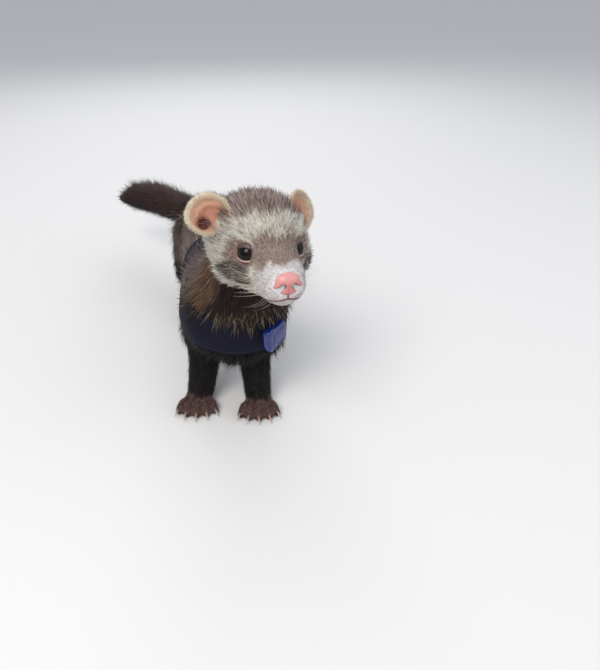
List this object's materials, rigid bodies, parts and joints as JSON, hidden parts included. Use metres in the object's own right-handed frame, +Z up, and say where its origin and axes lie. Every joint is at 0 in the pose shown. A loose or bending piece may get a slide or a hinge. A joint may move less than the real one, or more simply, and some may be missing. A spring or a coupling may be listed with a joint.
{
  "type": "ferret model",
  "caption": "Young ferret in life size, standing on all four feet with its head raised and its tail puffed out behind, wearing a soft chest harness with a side buckle.",
  "frame": {"origin": "centre of the bounding box's base, on the floor under the belly", "axes": "-Y is the way the animal faces, +X is its left side, +Z is up; the bounding box is longest along Y, from nose to tail tip"},
  "size_m": [0.1263, 0.3545, 0.1499],
  "materials": {
    "coat": "short fur, taupe brown with pale tips",
    "dark_coat": "short dense fur, near black brown",
    "ear": "thin skin with fine cream fur",
    "paw": "sparse fur over pinkish brown skin, pale claws",
    "nose": "moist skin, satin",
    "eye": "wet, glossy",
    "webbing": "soft padded weave, matte",
    "buckle": "moulded, glossy"
  },
  "bodies": {
    "root": {"head": "coat", "neck": "coat", "chest": "coat", "belly": "coat", "hips": "coat", "ear_left": "ear", "ear_right": "ear", "eye_left": "eye", "eye_right": "eye", "nose": "nose", "foreleg_left": "dark_coat", "foreleg_right": "dark_coat", "hindleg_left": "dark_coat", "hindleg_right": "dark_coat", "forepaw_left": "paw", "forepaw_right": "paw", "hindpaw_left": "paw", "hindpaw_right": "paw", "tail": "dark_coat", "harness": "webbing", "harness_buckle": "buckle"}
  },
  "joints": []
}
